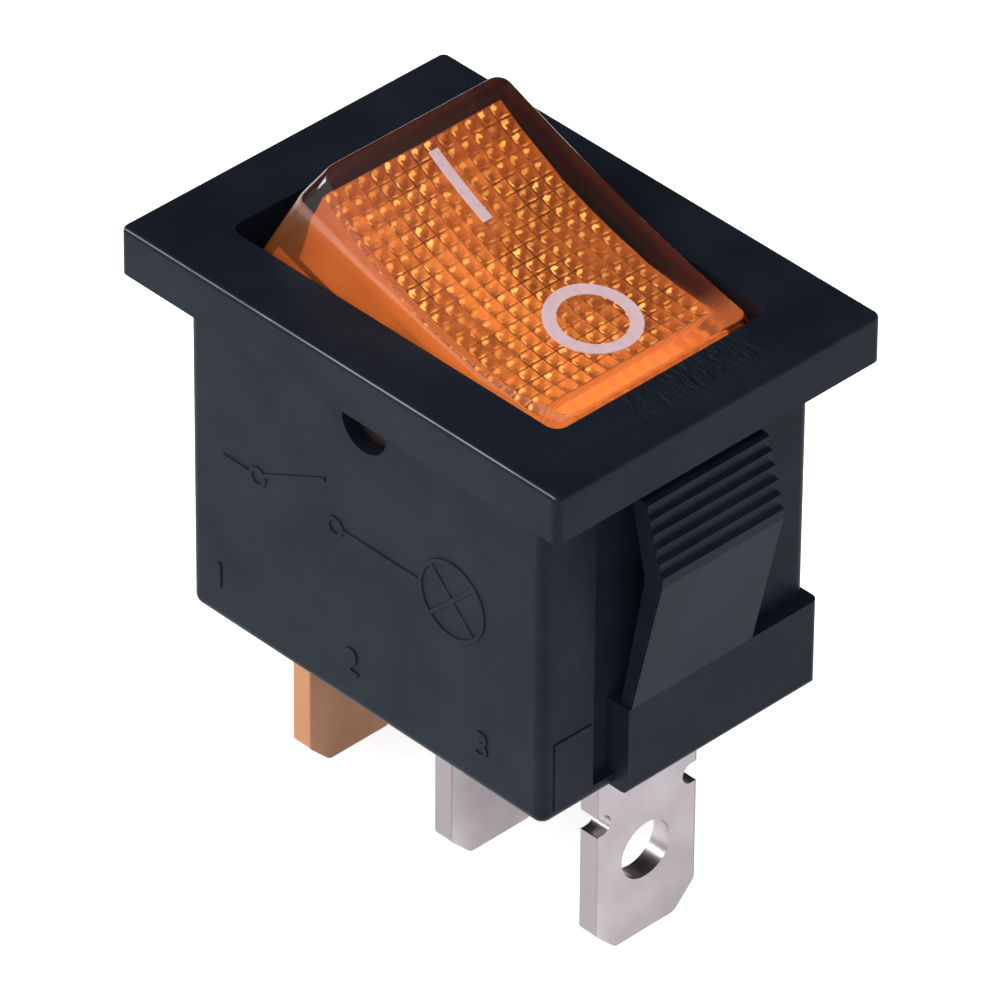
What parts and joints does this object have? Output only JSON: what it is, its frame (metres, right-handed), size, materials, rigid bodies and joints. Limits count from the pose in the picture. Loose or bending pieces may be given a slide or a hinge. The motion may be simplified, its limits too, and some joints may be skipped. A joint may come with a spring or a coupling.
{
  "type": "panel rocker switch",
  "caption": "Snap-in panel rocker switch with a lit amber cap, a black bezel and body with serrated snap tongues, and blade terminals.",
  "frame": {"origin": "middle of the bezel's underside, in the plane of the panel's front face", "axes": "+X along the long side towards the O end, +Y across, +Z out of the panel towards the user"},
  "size_m": [0.0212, 0.015, 0.0276],
  "materials": {
    "black_nylon": "moulded nylon, fine satin grain",
    "amber_plastic": "clear amber, polished outside, pyramid grid inside",
    "mark_print": "pad printed, satin",
    "carrier_nylon": "natural nylon",
    "spring_steel": "drawn wire",
    "copper_strip": "rolled copper alloy",
    "silver_contact": "silver alloy",
    "tinned_brass": "satin tin plate",
    "brass": "plain rolled brass",
    "lamp_glass": "clear",
    "nickel_wire": "drawn wire",
    "resistor_coat": "lacquered",
    "sleeve_plastic": "soft tube"
  },
  "bodies": {
    "switch_body": {"case": "black_nylon", "common_terminal": "tinned_brass", "load_terminal": "tinned_brass", "lamp_terminal": "brass", "fixed_contact": "silver_contact", "neutral_spring": "spring_steel", "load_spring": "spring_steel"},
    "rocker": {"rocker_cap": "amber_plastic", "on_mark": "mark_print", "off_mark": "mark_print", "lamp_carrier": "carrier_nylon", "plunger_spring": "spring_steel", "neon_bulb": "lamp_glass", "neon_electrode_a": "nickel_wire", "neon_electrode_b": "nickel_wire", "resistor_body": "resistor_coat", "resistor_lead_a": "nickel_wire", "resistor_lead_b": "nickel_wire", "joint_sleeve": "sleeve_plastic"},
    "plunger_pin": {"plunger": "carrier_nylon"},
    "lever": {"contact_lever": "copper_strip", "moving_contact": "silver_contact"}
  },
  "joints": [
    {"name": "rocker_tilt", "type": "hinge", "parent": "switch_body", "child": "rocker", "pos_m": [0, 0, -0.00145], "axis": [0, -1, 0], "range_deg": [0, 35.74], "deforming": ["neutral_spring", "load_spring"]},
    {"name": "lever_tilt", "type": "hinge", "parent": "switch_body", "child": "lever", "pos_m": [0, 0, -0.00943], "axis": [0, 1, 0], "range_deg": [0, 20]},
    {"name": "plunger_slide", "type": "slide", "parent": "rocker", "child": "plunger_pin", "axis": [0.3069, 0, 0.9518], "range_m": [0, 0.0005], "stiffness_N_per_m": 100, "deforming": ["plunger_spring"]}
  ],
  "couplings": [
    {"joint": "lever_tilt", "follows": "rocker_tilt", "ratio": 0.5595}
  ]
}
